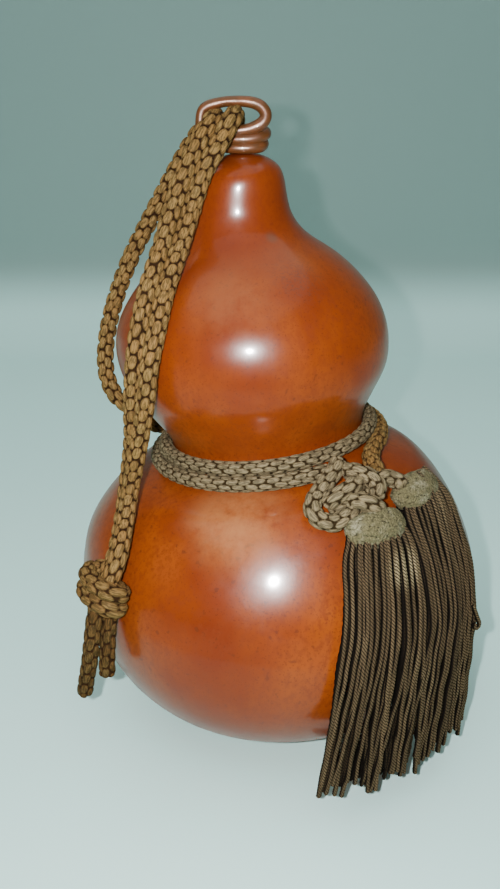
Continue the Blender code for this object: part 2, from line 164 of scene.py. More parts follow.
WAIST_STRANDS = {
    "bight": (
        (23.6, -43.0, 129.5), (21.4, -48.2, 126.8), (18.0, -51.8, 123.8), (14.6, -55.4, 120.8),
        (12.9, -60.2, 118.4), (14.6, -63.0, 115.9), (18.9, -64.2, 114.6), (22.8, -63.5, 115.3),
        (26.1, -61.2, 117.0), (28.5, -58.4, 119.4),
    ),
    "heart": (
        (18.6, -58.0, 118.2), (20.4, -59.0, 121.4), (24.0, -58.2, 123.6), (28.0, -54.4, 124.8),
        (31.4, -48.5, 124.1),
    ),
    "crossing": (
        (25.2, -46.0, 126.6), (29.5, -49.6, 127.4), (33.8, -52.0, 126.4), (36.4, -54.4, 123.8),
        (35.0, -57.4, 120.8),
    ),
    "return": (
        (25.6, -58.8, 120.0), (29.7, -61.4, 121.4), (33.6, -61.6, 120.4), (36.7, -58.4, 117.0),
    ),
    "under": (
        (18.5, -58.0, 117.0), (23.5, -57.6, 118.4), (28.5, -56.4, 119.4), (33.5, -53.0, 120.4),
    ),
    "link": (
        (32.0, -51.2, 122.7), (36.2, -50.4, 124.4), (40.5, -48.6, 124.6), (44.0, -48.6, 123.6),
        (46.6, -50.5, 121.6),
    ),
}

CURLED_END = (  # a string end that curls away from the back tassel
    (74.6, -56.4, 76.0), (76.8, -55.4, 70.6), (78.2, -54.8, 67.4), (77.8, -54.8, 65.2),
    (76.3, -55.3, 65.6), (76.3, -55.6, 67.6),
)
# The head's azimuth and height; the strings' first azimuth and height, their width there as a share
# of the skirt's and the power of their bend; the skirt's azimuth and half width; its ends' height
TASSELS = {
    "tassel_front": dict(head=(28.9, 105.4), strings=(28.7, 104.2, 0.98, 1.0), skirt=(22.6, 11.4),
                         ends=15.0, sway=-3.5, fan=1.2, strays=()),
    "tassel_back": dict(head=(50.0, 108.8), strings=(51.8, 107.6, 1.16, 1.6), skirt=(45.0, 11.0),
                        ends=17.5, sway=-3.5, fan=0.9, strays=(CURLED_END,)),
}
WORN_SPOT = (45.1, -68.5, 99.3)  # where the back tassel's strings are pale
STRING_LAYERS = (  # clearance from the skin, share of the width, brightness as painted shade on the inner layers, ring spacing, sides
    (1.2, 0.93, 0.4, 0.9, 6), (3.0, 0.96, 0.65, 0.9, 6), (4.9, 0.98, 1.0, 0.36, 12),
)
CAP_CLEARANCE, CAP_HALVES = 5.2, (11.4, 6.4, 6.6)  # its half sizes across, out and up
CAP_LOOPS, LOOP_REACH, LOOP_RISE = 520, 0.105, 0.085  # the last two as shares of the cap's size

# Ring spacing, the depth of the gaps as a share of the radius, and the length of a plait
CORD_STEP, KNOT_STEP, BAND_STEP = 0.4, 0.35, 0.42
CORD_RELIEF, KNOT_RELIEF, BAND_RELIEF = 0.31, 0.27, 0.24
BAND_PLAIT, WAIST_KNOT_PLAIT = 4.9, 4.8
PLAIT_STRAY, PLAIT_LEAN, PLAIT_HALF_WIDE, PLAIT_HALF_LONG = 0.12, 0.22, 0.545, 0.50
SEEDS = {"cord": 20, "cord_end": 30, "end_knot": 40, "band": 51, "waist_knot": 60, "tassel": 70,
         "cap": 7}

# The stage, in metres. The flash beside the lens gives the light and the shadows, and the glint
# gives the highlights at their seen places.
FLOOR_SIZE, WALL_HEIGHT, SWEEP_SIZE = 3.0, 1.0, 0.12
FLASH_PLACE, GLINT_PLACE = (-0.0287, -0.302, 0.2415), (-0.02, -0.302, 0.26)
WIDE_PLACE = (-0.15, 0.0, 1.65)


def colour_setting(name, description, default):
    return FloatVectorProperty(name=name, description=description, subtype="COLOR", size=3,
                               default=default, min=0, max=1)


def length_setting(name, description, default):
    """A length, with its default in millimetres."""
    return FloatProperty(name=name, description=description, subtype="DISTANCE", unit="LENGTH",
                         default=default * MM)


class GourdSettings(PropertyGroup):
    """The gourd's skin and the loop on its neck."""

    sides: IntProperty(name="Sides", description="Sides of the gourd before it is smoothed",
                       default=48, min=16, max=64)
    bright: colour_setting("Bright skin", "Colour of the lacquered skin", (0.28, 0.0515, 0.003))
    deep: colour_setting("Deep skin", "Colour of its darker patches", (0.16, 0.021, 0.003))
    rod: colour_setting("Loop", "Colour of the hanging loop", (0.095, 0.034, 0.008))
    rod_radius: length_setting("Loop radius", "Radius of the loop's rod", ROD_RADIUS)


class CordSettings(PropertyGroup):
    """The braided cords, the waist band and the knots."""

    cord_radius: length_setting("Cord radius", "Radius over the plaits", 3.55)
    band_radius: length_setting("Band radius", "Radius of the waist band", 3.05)
    knot_radius: length_setting("Knot radius", "Radius in the waist knot", 3.35)
    plait: length_setting("Plait", "Length of one plait of the thick cord", 5.1)
    columns: IntProperty(name="Columns", description="Columns of plaits round a cord",
                         default=6, min=4, max=12)
    light: colour_setting("Cord", "Colour of the cord's plaits", (0.256, 0.152, 0.049))
    # Painted shade: the colour in the gaps between the plaits.
    dark: colour_setting("Cord gaps", "Colour between the plaits", (0.034, 0.014, 0.004))
    band: colour_setting("Band", "Colour of the waist band's plaits", (0.25, 0.194, 0.107))


class TasselSettings(PropertyGroup):
    """The tassels' strings and caps."""

    string_radius: length_setting("String radius", "Radius of a tassel string", 0.95)
    lay: length_setting("Lay", "Length of one turn of a string's plies", 5.0)
    plies: IntProperty(name="Plies", description="Plies twisted into one string",
                       default=4, min=2, max=6)
    strings: IntProperty(name="Strings", description="Strings across each layer of a tassel",
                         default=18, min=6, max=24)
    light: colour_setting("String", "Colour of the strings' plies", (0.145, 0.096, 0.05))
    # Painted shade: the colour in the grooves between the plies.
    dark: colour_setting("String gaps", "Colour between the plies", (0.004, 0.0025, 0.0012))
    cap: colour_setting("Cap", "Colour of the looped caps", (0.18, 0.154, 0.074))


class StageSettings(PropertyGroup):
    """The camera, the floor and the lights."""

    eye: FloatVectorProperty(name="Camera", description="The camera's place",
                             subtype="TRANSLATION", unit="LENGTH",
                             default=(-0.00877, -0.3005, 0.2365))
    pitch: FloatProperty(name="Pitch", description="How far the camera looks down",
                         subtype="ANGLE", unit="ROTATION", default=0.374)
    lens: FloatProperty(name="Lens", description="Focal length on a 36 mm long side",
                        subtype="DISTANCE_CAMERA", unit="CAMERA", default=30.98)
    floor: colour_setting("Floor", "Colour of the floor and backdrop", (0.68, 1.0, 0.94))
    wall: length_setting("Backdrop", "How far behind the gourd it stands", 700.0)


def read_table(table, where, column):
    """A smooth curve through a column of a table, read at a value of the table's first column."""
    keys = [row[0] for row in table]
    values = [row[column] for row in table]
    where = min(max(where, keys[0]), keys[-1])
    i = max(k for k in range(len(keys) - 1) if keys[k] <= where)

    def slope(k):
        low, high = max(k - 1, 0), min(k + 1, len(keys) - 1)
        return (values[high] - values[low]) / (keys[high] - keys[low])

    span = keys[i + 1] - keys[i]
    t = (where - keys[i]) / span
    rise, fall = slope(i) * span, slope(i + 1) * span
    step = values[i + 1] - values[i]
    return values[i] + t * (rise + t * (3 * step - 2 * rise - fall + t * (rise + fall - 2 * step)))


def skin_radius(height):
    """The gourd's radius in the section that leaves its middle line at this height."""
    if height >= BULB_HEIGHT:
        return read_table(OUTLINE, height, 1)
    share = (BULB_HEIGHT - max(height, 0.0)) / BULB_HALF
    return BULB_RADIUS * (1 - share**BULB_POWER) ** (1 / BULB_POWER)


def ring_point(azimuth, radius, height):
    """A point of a tilted section. Azimuth 0 is the front and 90 the right, in degrees."""
    shift, tilt, lean = (read_table(SPINE, height, column) for column in (1, 2, 3))
    across, deep = radius * sin(radians(azimuth)), lean - radius * cos(radians(azimuth))
    return Vector((shift + across * cos(tilt), deep, height + across * sin(tilt)))


def skin_point(azimuth, height, clear):
    """A point at this clearance from the skin, measured square to the outline."""
    slope = (skin_radius(height + 1) - skin_radius(height - 1)) / 2
    square = Vector((1.0, -slope)).normalized()
    return ring_point(azimuth, skin_radius(height) + clear * square.x, height + clear * square.y)


def run_along(points):
    """How far along a line of points each of them lies."""
    return np.concatenate([[0], np.cumsum(np.linalg.norm(np.diff(points, axis=0), axis=1))])


def dim(colour, share):
    return tuple(share * c for c in colour)


def curve_points(route, step):
    """Evenly spaced points of a smooth curve through a route's points, as an array in metres."""
    points = [Vector(p) for p in route]
    padded = [2 * points[0] - points[1], *points, 2 * points[-1] - points[-2]]
    fine = []
    for a, b, c, d in zip(padded, padded[1:], padded[2:], padded[3:]):
        for k in range(12):
            t = k / 12
            bend = (2 * a - 5 * b + 4 * c - d) * t * t + (3 * b - 3 * c + d - a) * t**3
            fine.append((2 * b + (c - a) * t + bend) / 2)
    fine.append(points[-1])
    fine = np.array(fine)
    run = run_along(fine)
    goals = np.linspace(0, run[-1], max(3, round(run[-1] / step) + 1))
    even = np.stack([np.interp(goals, run, fine[:, k]) for k in range(3)], axis=1)
    for _ in range(4):
        even[1:-1] = (even[:-2] + 2 * even[1:-1] + even[2:]) / 4
    return even * MM


def frames(points):
    """Two axes square to a line at each of its points that don't wind round it."""
    ahead = np.gradient(points, axis=0)
    ahead /= np.linalg.norm(ahead, axis=1)[:, None]
    side = np.cross(ahead[0], (0.0, 0.0, 1.0) if abs(ahead[0][2]) < 0.9 else (1.0, 0.0, 0.0))
    sides = []
    for direction in ahead:
        side = side - direction * (side @ direction)
        side = side / np.linalg.norm(side)
        sides.append(side)
    sides = np.array(sides)
    return sides, np.cross(ahead, sides)


def sweep(points, radius, depth, tint):
    """A tube: its rings' corners, how proud each one is, its tint and its place along the tube."""
    side, lift = frames(points)
    turn = 2 * pi * np.arange(radius.shape[1]) / radius.shape[1]
    round_it = side[:, None] * np.cos(turn)[:, None] + lift[:, None] * np.sin(turn)[:, None]
    run = run_along(points)
    return dict(rings=points[:, None] + radius[..., None] * round_it, depth=depth,
                tint=np.broadcast_to(tint, radius.shape), run=run)


def tubes_object(name, tubes, look):
    """One mesh of closed tubes, with a UV map and the depth and tint of every corner."""
    spots, loops, starts, flat, depth, tint = [], [], [], [], [], []
    first, used = 0, 0
    for tube in tubes:
        count, sides = tube["depth"].shape
        ring, around = np.meshgrid(np.arange(count - 1), np.arange(sides), indexing="ij")
        beside = (around + 1) % sides
        quads = np.stack([ring * sides + around, ring * sides + beside,
                          (ring + 1) * sides + beside, (ring + 1) * sides + around], axis=-1)
        caps = np.concatenate([np.arange(sides)[::-1], (count - 1) * sides + np.arange(sides)])
        loops.append(np.concatenate([quads.ravel(), caps]) + first)
        quad_count = quads.size // 4
        starts.append(used + np.concatenate([np.arange(quad_count) * 4,
                                             quad_count * 4 + np.array([0, sides])]))
        u = np.stack([around, around + 1, around + 1, around], axis=-1) / sides
        v = tube["run"][np.stack([ring, ring, ring + 1, ring + 1], axis=-1)] / MM
        flat.append(np.stack([u.ravel(), v.ravel()], axis=-1))
        flat.append(np.zeros((2 * sides, 2)))
        spots.append(tube["rings"].reshape(-1, 3))
        depth.append(tube["depth"].ravel())
        tint.append(tube["tint"].ravel())
        first += count * sides
        used += quads.size + 2 * sides
    mesh = bpy.data.meshes.new(name)
    spots, loops, starts = np.concatenate(spots), np.concatenate(loops), np.concatenate(starts)
    mesh.vertices.add(len(spots))
    mesh.vertices.foreach_set("co", spots.astype(np.float32).ravel())
    mesh.loops.add(len(loops))
    mesh.loops.foreach_set("vertex_index", loops.astype(np.int32))
    mesh.polygons.add(len(starts))
    mesh.polygons.foreach_set("loop_start", starts.astype(np.int32))
    mesh.update(calc_edges=True)
    mesh.uv_layers.new(name="weave").data.foreach_set(
        "uv", np.concatenate(flat).astype(np.float32).ravel())
    for title, values in (("depth", depth), ("tint", tint)):
        mesh.attributes.new(title, "FLOAT", "POINT").data.foreach_set(
            "value", np.concatenate(values).astype(np.float32))
    mesh.validate()
    mesh.shade_smooth()
    mesh.materials.append(look)
    made = bpy.data.objects.new(name, mesh)
    bpy.context.collection.objects.link(made)
    return made


def plaits(around, along, columns, seed):
    """How proud a braid is, from 0 in a gap to 1, and each plait's tint.
    around counts columns and along counts plaits; every second column is half a plait on."""
    rows = 997
    chance = np.random.default_rng(seed).random((rows, columns, 4))
    height, tint = np.zeros_like(along), np.zeros_like(along)
    nearest = np.round(around)
    for beside in (-1, 0, 1):
        column = nearest + beside
        which = np.mod(column, columns).astype(int)
        offset = 0.5 * (which % 2)
        row = np.round(along - offset)
        luck = chance[np.mod(row, rows).astype(int), which]
        ahead = along - offset - row + PLAIT_STRAY * (luck[..., 0] - 0.5)
        lean = np.where(which % 2, PLAIT_LEAN, -PLAIT_LEAN)
        across = around - column + lean * ahead + PLAIT_STRAY * (luck[..., 1] - 0.5)
        half_wide = PLAIT_HALF_WIDE + 0.07 * luck[..., 2]
        away = (across / half_wide) ** 2 + np.abs(ahead / PLAIT_HALF_LONG) ** 2.4
        rise = np.sqrt(np.clip(1 - away, 0, 1))
        tint = np.where(rise > height, luck[..., 3], tint)
        height = np.maximum(height, rise)
    return height, tint


def braid(points, radius, columns, plait, relief, seed, samples=8):
    """A braided tube along the points, with rounded ends."""
    run = run_along(points)
    sides = columns * samples
    around, along = np.meshgrid(np.arange(sides) / samples, run / plait)
    height, tint = plaits(around, along, columns, seed)
    size = radius * (1 - relief * (1 - height**0.8))
    closing = np.minimum(run, run[-1] - run) / (0.5 * radius)
    closing = np.sqrt(np.clip(1 - (1 - np.clip(closing, 0, 1)) ** 2, 0.04, 1))
    return sweep(points, size * closing[:, None], height, tint)


def plied(points, radius, lay, plies, sides, start, tint, shade):
    """A string of twisted plies along the points, with painted shade where it faces into the
    tassel.
    """
    run = run_along(points)
    run += start * lay
    around, along = np.meshgrid(np.arange(sides) / sides, run / lay)
    size = radius * (0.74 + 0.26 * np.abs(np.cos(pi * plies * (around + along))))
    size[[0, -1]] *= 0.7
    made = sweep(points, size, np.ones(size.shape), tint)
    made["run"] = run
    # Painted shade, kept in depth: darker where the string faces into the tassel.
    middle = np.array([SPINE[1][1], 0.0, BULB_HEIGHT]) * MM
    away = points - middle
    away[:, 2] = np.maximum(away[:, 2], 0)
    away /= np.linalg.norm(away, axis=1)[:, None]
    facing = ((made["rings"] - points[:, None]) * away[:, None]).sum(axis=2) / size
    made["depth"] = shade * np.clip(0.1 + 0.95 * facing, 0, 1)
    return made


def select_only(thing=None):
    """Deselect everything, then select and activate one object."""
    if bpy.context.mode != "OBJECT":
        bpy.ops.object.mode_set(mode="OBJECT")
    bpy.ops.object.select_all(action="DESELECT")
    if thing:
        thing.select_set(True)
        bpy.context.view_layer.objects.active = thing


def put_on(piece, slot, *nodes):
    """Let a finished piece ride on the gourd's body and stand for its CAD nodes."""
    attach(piece, BODY)
    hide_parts(*nodes)
    return piece


class Wire:
    """A node's output. Sums and products of wires and numbers add Math nodes."""

    def __init__(self, look, socket):
        self.look, self.socket = look, socket

    def math(self, operation, *values):
        return self.look.node("ShaderNodeMath", {"operation": operation}, dict(enumerate(values)))

    def __add__(self, other):
        return self.math("ADD", self, other)

    def __sub__(self, other):
        return self.math("SUBTRACT", self, other)

    def __rsub__(self, other):
        return self.math("SUBTRACT", other, self)

    def __abs__(self):
        return self.math("ABSOLUTE", self)

    def __mul__(self, other):
        return self.math("MULTIPLY", self, other)

    __radd__, __rmul__ = __add__, __mul__


class Look:
    """A Principled material in the making."""

    def __init__(self, name):
        self.material = bpy.data.materials.new(name)
        self.material.use_nodes = True
        self.tree = self.material.node_tree
        self.shader = self.tree.nodes["Principled BSDF"]

    def node(self, kind, settings=None, values=None, output=0):
        """Add a node: its settings come first, then the values or wires of its sockets."""
        made = self.tree.nodes.new(kind)
        for key, value in (settings or {}).items():
            setattr(made, key, value)
        for key, value in (values or {}).items():
            self.feed(made.inputs[key], value)
        return Wire(self, made.outputs[output])

    def feed(self, socket, value):
        if isinstance(value, Wire):
            self.tree.links.new(value.socket, socket)
        else:
            socket.default_value = (*value, 1.0) if socket.type == "RGBA" else value

    def set(self, **values):
        """Set sockets of the shader by name, with _ for a space."""
        for key, value in values.items():
            self.feed(self.shader.inputs[key.replace("_", " ")], value)
        return self.material

    def place(self, scale=(1, 1, 1)):
        """Object coordinates, stretched."""
        here = self.node("ShaderNodeTexCoord", output=3)
        return self.node("ShaderNodeMapping", None, {"Vector": here, "Scale": scale})

    def weave(self, scale=(1, 1, 1)):
        """The piece's own map, round and along a tube."""
        here = self.node("ShaderNodeUVMap", {"uv_map": "weave"})
        return self.node("ShaderNodeMapping", None, {"Vector": here, "Scale": scale})

    def near(self, spot, inner, outer):
        """1 within the inner distance of a spot, in millimetres, and 0 past the outer one."""
        values = {0: self.place(), 1: tuple(c * MM for c in spot)}
        away = self.node("ShaderNodeVectorMath", {"operation": "DISTANCE"}, values, output=1)
        return 1 - self.between(away, inner * MM, outer * MM)

    def attribute(self, name):
        return self.node("ShaderNodeAttribute", {"attribute_name": name}, output=2)

    def noise(self, where, scale, detail, roughness):
        values = {"Vector": where, "Scale": scale, "Detail": detail, "Roughness": roughness}
        return self.node("ShaderNodeTexNoise", None, values)

    def between(self, value, low, high):
        """0 below low and 1 above high, with a smooth step between."""
        values = {"Value": value, "From Min": low, "From Max": high}
        return self.node("ShaderNodeMapRange", {"interpolation_type": "SMOOTHSTEP"}, values)

    def mix(self, share, first, second):
        """One colour into another by a share."""
        return self.node("ShaderNodeMix", {"data_type": "RGBA"},
                         {0: share, 6: first, 7: second}, output=2)

    def layers(self, colour, *steps):
        """Turn a colour toward others. A step has a value, the value's range, a share, a colour."""
        for value, low, high, share, other in steps:
            colour = self.mix(self.between(value, low, high) * share, colour, other)
        return colour

    def part(self, vector, axis):
        """One coordinate of a vector."""
        return self.node("ShaderNodeSeparateXYZ", None, {"Vector": vector}, output=axis)

    def bump(self, height, distance, strength):
        values = {"Height": height, "Distance": distance, "Strength": strength}
        return self.node("ShaderNodeBump", None, values)


def skin_look(settings):
    """Lacquered gourd skin: warm mottling, fine dark specks, pale clouds that are partly wear and
    partly a painted reflection of the overhead light, painted shade towards the floor and a clear
    gloss.
    """
    look = Look("gourd_skin")
    here = look.place()
    clouds = look.noise(here, 15.0, 4.0, 0.55)
    drift = look.noise(look.place((26, 26, 8)), 1.0, 3.0, 0.6)
    grain = look.noise(look.place((1, 1, 0.6)), 620.0, 3.0, 0.6)
    specks = look.noise(here, 1500.0, 1.0, 0.4)
    large_specks = look.noise(here, 420.0, 1.0, 0.5)
    thick = look.noise(here, 30.0, 2.0, 0.5)
    deep, high = tuple(settings.deep), look.part(here, 2)
    colour = look.mix(look.between(clouds, 0.36, 0.66), deep, tuple(settings.bright))
    colour = look.layers(
        colour, (drift, 0.42, 0.72, 0.35, (0.37, 0.085, 0.005)), (thick, 0.5, 0.75, 0.35, deep),
        (grain, 0.42, 0.66, 0.6, (0.17, 0.028, 0.006)),
        (specks, 0.62, 0.72, 0.5, (0.08, 0.014, 0.005)),
        (large_specks, 0.68, 0.75, 0.6, (0.10, 0.02, 0.007)))
    colour = look.mix(look.near(NECK_MARK, 0.8, 3.4) * 0.7, colour, (0.07, 0.055, 0.035))
    colour = look.layers(colour, (high, 0.19, 0.215, 0.62, deep))
    # Painted shade: the skin darkens towards the floor.
    foot = 1 - look.between(high, 0.02, 0.075)
    colour = look.mix(foot * 0.8, colour, deep)
    wear_and_sheen = look.noise(here, 46.0, 5.0, 0.7)
    # Pale patches: partly worn skin, partly a painted reflection of the overhead light.
    for spot, inner, outer, share in WORN_SKIN_AND_SHEEN:
        pale = look.near(spot, inner, outer) * look.between(wear_and_sheen, 0.2, 0.6) * share
        colour = look.mix(pale, colour, (0.44, 0.18, 0.065))
    scratches = look.noise(here, 1100.0, 2.0, 0.6)
    scuffed = look.near(SCUFFS, 2.0, 15.0) * look.between(scratches, 0.5, 0.6)
    colour = look.mix(scuffed * 0.6, colour, (0.10, 0.035, 0.02))
    ripple = look.noise(here, 55.0, 2.0, 0.5) + 0.1 * grain
    return look.set(Base_Color=colour, Roughness=0.30 + 0.16 * look.between(wear_and_sheen, 0.4, 0.8),
                    Coat_Weight=0.18 + 0.10 * look.between(clouds, 0.4, 0.6), Coat_Roughness=0.12,
                    Coat_IOR=1.45, Specular_IOR_Level=0.08,
                    Normal=look.bump(ripple, 0.0006, 0.3))


def rod_look(settings):
    """Copper-coloured rod, burnished, with darker drawn-out streaks."""
    look = Look("loop_rod")
    streaks = look.noise(look.weave((6.0, 0.25, 1)), 1.0, 3.0, 0.6)
    tarnish = look.noise(look.place(), 160.0, 3.0, 0.6)
    colour = look.layers(
        tuple(settings.rod), (streaks, 0.40, 0.62, 0.6, (0.17, 0.05, 0.014)),
        (tarnish, 0.50, 0.74, 0.6, (0.11, 0.035, 0.014)))
    return look.set(Base_Color=colour, Metallic=0.1, Roughness=0.26 + 0.2 * tarnish,
                    Specular_IOR_Level=0.2, Coat_Weight=0.14, Coat_Roughness=0.05,
                    Normal=look.bump(streaks, 0.0003, 0.5))


def braid_look(name, light, dark, warm):
    """Plaited threads: painted shade in the gaps, a tint for each plait and fine threads along it.
    """
    look = Look(name)
    depth, tint = look.attribute("depth"), look.attribute("tint")
    own = look.node("ShaderNodeCombineXYZ", None, {0: tint * 37.0, 1: tint * 11.0})
    along = look.node("ShaderNodeVectorMath", {"operation": "ADD"},
                      {0: look.weave((34.0, 0.34, 1)), 1: own})
    threads = look.noise(along, 1.0, 2.0, 0.6)
    fuzz = look.noise(look.place(), 900.0, 2.0, 0.6)
    soil = look.noise(look.place(), 60.0, 3.0, 0.6)
    colour = look.layers(
        look.mix(tint * 0.7, light, warm), (tint, 0.72, 0.95, 0.35, dim(light, 0.5)),
        (threads, 0.45, 0.56, 0.8, dim(light, 0.32)), (soil, 0.45, 0.8, 0.4, dim(light, 0.5)))
    # Painted shade in the gaps between the plaits.
    colour = look.mix(look.between(depth, 0.15, 0.72), dark, colour)
    height = fuzz * 0.25 - threads * 0.7
    return look.set(Base_Color=colour, Roughness=0.85 - 0.25 * look.between(depth, 0.6, 1.0),
                    Specular_IOR_Level=0.025, Normal=look.bump(height, 0.0008, 0.9))


def string_look(settings):
    """Twisted strings: painted shade in the grooves between light plies and where they face into
    the tassel, each string with its own tint.
    """
    look = Look("tassel_string")
    depth, tint = look.attribute("depth"), look.attribute("tint")
    woven, turn = look.weave(), pi * settings.plies
    turned = look.part(woven, 0) * turn + look.part(woven, 1) * (turn * MM / settings.lay)
    ply = abs(turned.math("COSINE", turned))
    fuzz = look.noise(look.place(), 1400.0, 2.0, 0.6)
    worn = look.noise(look.place((1, 1, 0.4)), 55.0, 2.0, 0.5)
    light = tuple(settings.light)
    colour = look.mix(tint * 0.75, light, dim(light, 0.45))
    colour = look.layers(colour, (worn, 0.52, 0.75, 0.4, (0.36, 0.26, 0.14)))
    colour = look.mix(look.near(WORN_SPOT, 2.0, 10.0) * 0.65, colour, (0.50, 0.40, 0.22))
    colour = look.layers(colour, (fuzz, 0.4, 0.7, 0.3, dim(light, 0.5)))
    # Painted shade in the grooves between the plies, then where a string faces into the tassel.
    colour = look.mix(look.between(ply, 0.30, 0.85), dim(light, 0.12), colour)
    colour = look.mix(look.between(depth, 0.30, 0.82), tuple(settings.dark), colour)
    return look.set(Base_Color=colour, Roughness=0.72 + 0.15 * fuzz,
                    Specular_IOR_Level=0.02,
                    Normal=look.bump(fuzz * 0.4 + ply, 0.0002, 0.6))


def cap_look(settings):
    """Caps of fine looped thread, speckled light and dark, with painted shade between the loops."""
    look = Look("tassel_cap")
    depth = look.attribute("depth")
    cells = look.node("ShaderNodeTexVoronoi", None, {"Vector": look.place(), "Scale": 1300.0})
    fuzz = look.noise(look.place(), 1500.0, 2.0, 0.6)
    patches = look.noise(look.place(), 160.0, 2.0, 0.6)
    cap = tuple(settings.cap)
    colour = look.layers(
        cap, (fuzz, 0.4, 0.62, 0.6, dim(cap, 0.55)),
        (patches, 0.45, 0.7, 0.5, (0.42, 0.39, 0.26)), (cells, 0.3, 0.7, 0.45, dim(cap, 0.4)))
    # Painted shade between the loops.
    colour = look.mix(look.between(depth, 0.0, 0.6), dim(cap, 0.16), colour)
    return look.set(Base_Color=colour, Roughness=0.8 + 0.1 * fuzz, Specular_IOR_Level=0.05,
                    Normal=look.bump(fuzz + cells, 0.0008, 0.8))


def floor_look(settings):
    """A plain pale board with a faint unevenness, and painted shade where it rises to the backdrop.
    """
    look = Look("floor")
    haze = look.noise(look.place(), 3.0, 3.0, 0.5)
    floor = tuple(settings.floor)
    colour = look.mix(haze, dim(floor, 0.95), floor)
    # Painted shade: the rising backdrop is painted darker than the floor, as the light falls off.
    wall = tuple(share * c for share, c in zip((0.49, 0.463, 0.457), floor))
    colour = look.mix(look.between(look.part(look.place(), 2), 0.03, 0.10), colour, wall)
    return look.set(Base_Color=colour, Roughness=0.55 + 0.1 * haze, Specular_IOR_Level=0.1)


def lamp(name, place, aim, power, size, colour=(1, 1, 1)):
    """A round area light that looks at a point."""
    light = bpy.data.lights.new(name, "AREA")
    light.energy, light.color = power, colour
    light.shape, light.size = "DISK", size
    made = bpy.data.objects.new(name, light)
    bpy.context.collection.objects.link(made)
    made.location = place
    made.rotation_euler = (Vector(aim) - Vector(place)).to_track_quat("-Z", "Y").to_euler()
    return made


def select_edges(data, wanted):
    """In edit mode, select only the edges whose two ends are wanted."""
    bpy.ops.mesh.select_all(action="DESELECT")
    bm = bmesh.from_edit_mesh(data)
    bm.select_mode = {"EDGE"}
    for edge in bm.edges:
        edge.select = all(wanted(vert.co) for vert in edge.verts)
    bmesh.update_edit_mesh(data)


class GOURD_OT_stage(Operator):
    """Add the camera at the photograph's angle, the floor with its backdrop and the lights"""

    bl_idname = "gourd.stage"
    bl_label = "Stage"

    def execute(self, context):
        settings = context.scene.gourd_stage
        camera = bpy.data.cameras.new("camera")
        camera.sensor_width, camera.lens = 36.0, settings.lens
        camera.clip_start = 0.01
        eye = bpy.data.objects.new("camera", camera)
        context.collection.objects.link(eye)
        eye.location = settings.eye
        eye.rotation_euler = (pi / 2 - settings.pitch, 0.0, 0.0)
        context.scene.camera = eye

        select_only()
        bpy.ops.mesh.primitive_plane_add(size=FLOOR_SIZE,
                                         location=(0, settings.wall - FLOOR_SIZE / 2, 0))
        floor = context.object
        floor.name = "floor"
        bpy.ops.object.transform_apply(location=True, rotation=True, scale=True)
        bpy.ops.object.mode_set(mode="EDIT")
        behind = settings.wall - 0.01
        select_edges(floor.data, lambda place: place.y > behind)
        bpy.ops.mesh.extrude_region_move(TRANSFORM_OT_translate={"value": (0, 0, WALL_HEIGHT)})
        select_edges(floor.data, lambda place: place.y > behind and place.z < 0.01)
        bpy.ops.mesh.bevel(offset=SWEEP_SIZE, segments=12)
        bpy.ops.object.mode_set(mode="OBJECT")
        bpy.ops.object.shade_smooth()
        floor.data.materials.append(floor_look(settings))
        floor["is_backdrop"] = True

        world = bpy.data.worlds.new("room")
        world.use_nodes = True
        sky = world.node_tree.nodes["Background"].inputs
        sky["Color"].default_value, sky["Strength"].default_value = (0.80, 0.9, 0.92, 1), 0.17
        context.scene.world = world
        middle = (0.0, 0.0, 0.12)
        flash = lamp("front_light", FLASH_PLACE, middle, 1.5, 0.007)
        flash.visible_glossy = False
        glint = lamp("glint_light", GLINT_PLACE, middle, 10.0, 0.02)
        glint.visible_diffuse = False
        lamp("wide_light", WIDE_PLACE, (0, 0, 0), 24.0, 2.4, (0.89, 1.0, 0.99))
        return {"FINISHED"}


def left_route():
    """From behind the waist on the left, up to the eye and down the front."""
    tuck = [ring_point(*spot) for spot in LEFT_TUCK[::-1]]
    return [*tuck, *LEFT_BACK[::-1], *LEFT_FRONT]


def right_route():
    """From the waist knot, round the right side and up the back to the eye, then down the front."""
    waist = [ring_point(*spot) for spot in RIGHT_WAIST[::-1]]
    bulb = [skin_point(*spot) for spot in RIGHT_BACK_BULB[::-1]]
    return [*RIGHT_START[::-1], *waist, *bulb, *RIGHT_BACK_TOP[::-1], *RIGHT_FRONT]


def knot_frame(azimuth, height, clear):
    """Axes at a place over the skin: right along the skin, out from it and up along it."""
    middle = skin_point(azimuth, height, clear)
    out = (middle - skin_point(azimuth, height, 0)).normalized()
    right = Vector((cos(radians(azimuth)), sin(radians(azimuth)), 0.0))
    return middle, right, out, out.cross(right) * -1


def end_knot_coil():
    """The end knot's own cord: a flattened coil round the two front lengths."""
    middle, right, out, up = knot_frame(*END_KNOT_PLACE)
    coil = []
    for k in range(round(END_KNOT_TURNS * 10) + 1):
        turn = 2 * pi * k / 10 + pi / 2
        rise = END_KNOT_PITCH * (k / 10 - END_KNOT_TURNS / 2)
        side = right * (END_KNOT_WIDE * cos(turn)) - out * (END_KNOT_DEEP * sin(turn))
        coil.append(middle + side + up * rise)
    return coil


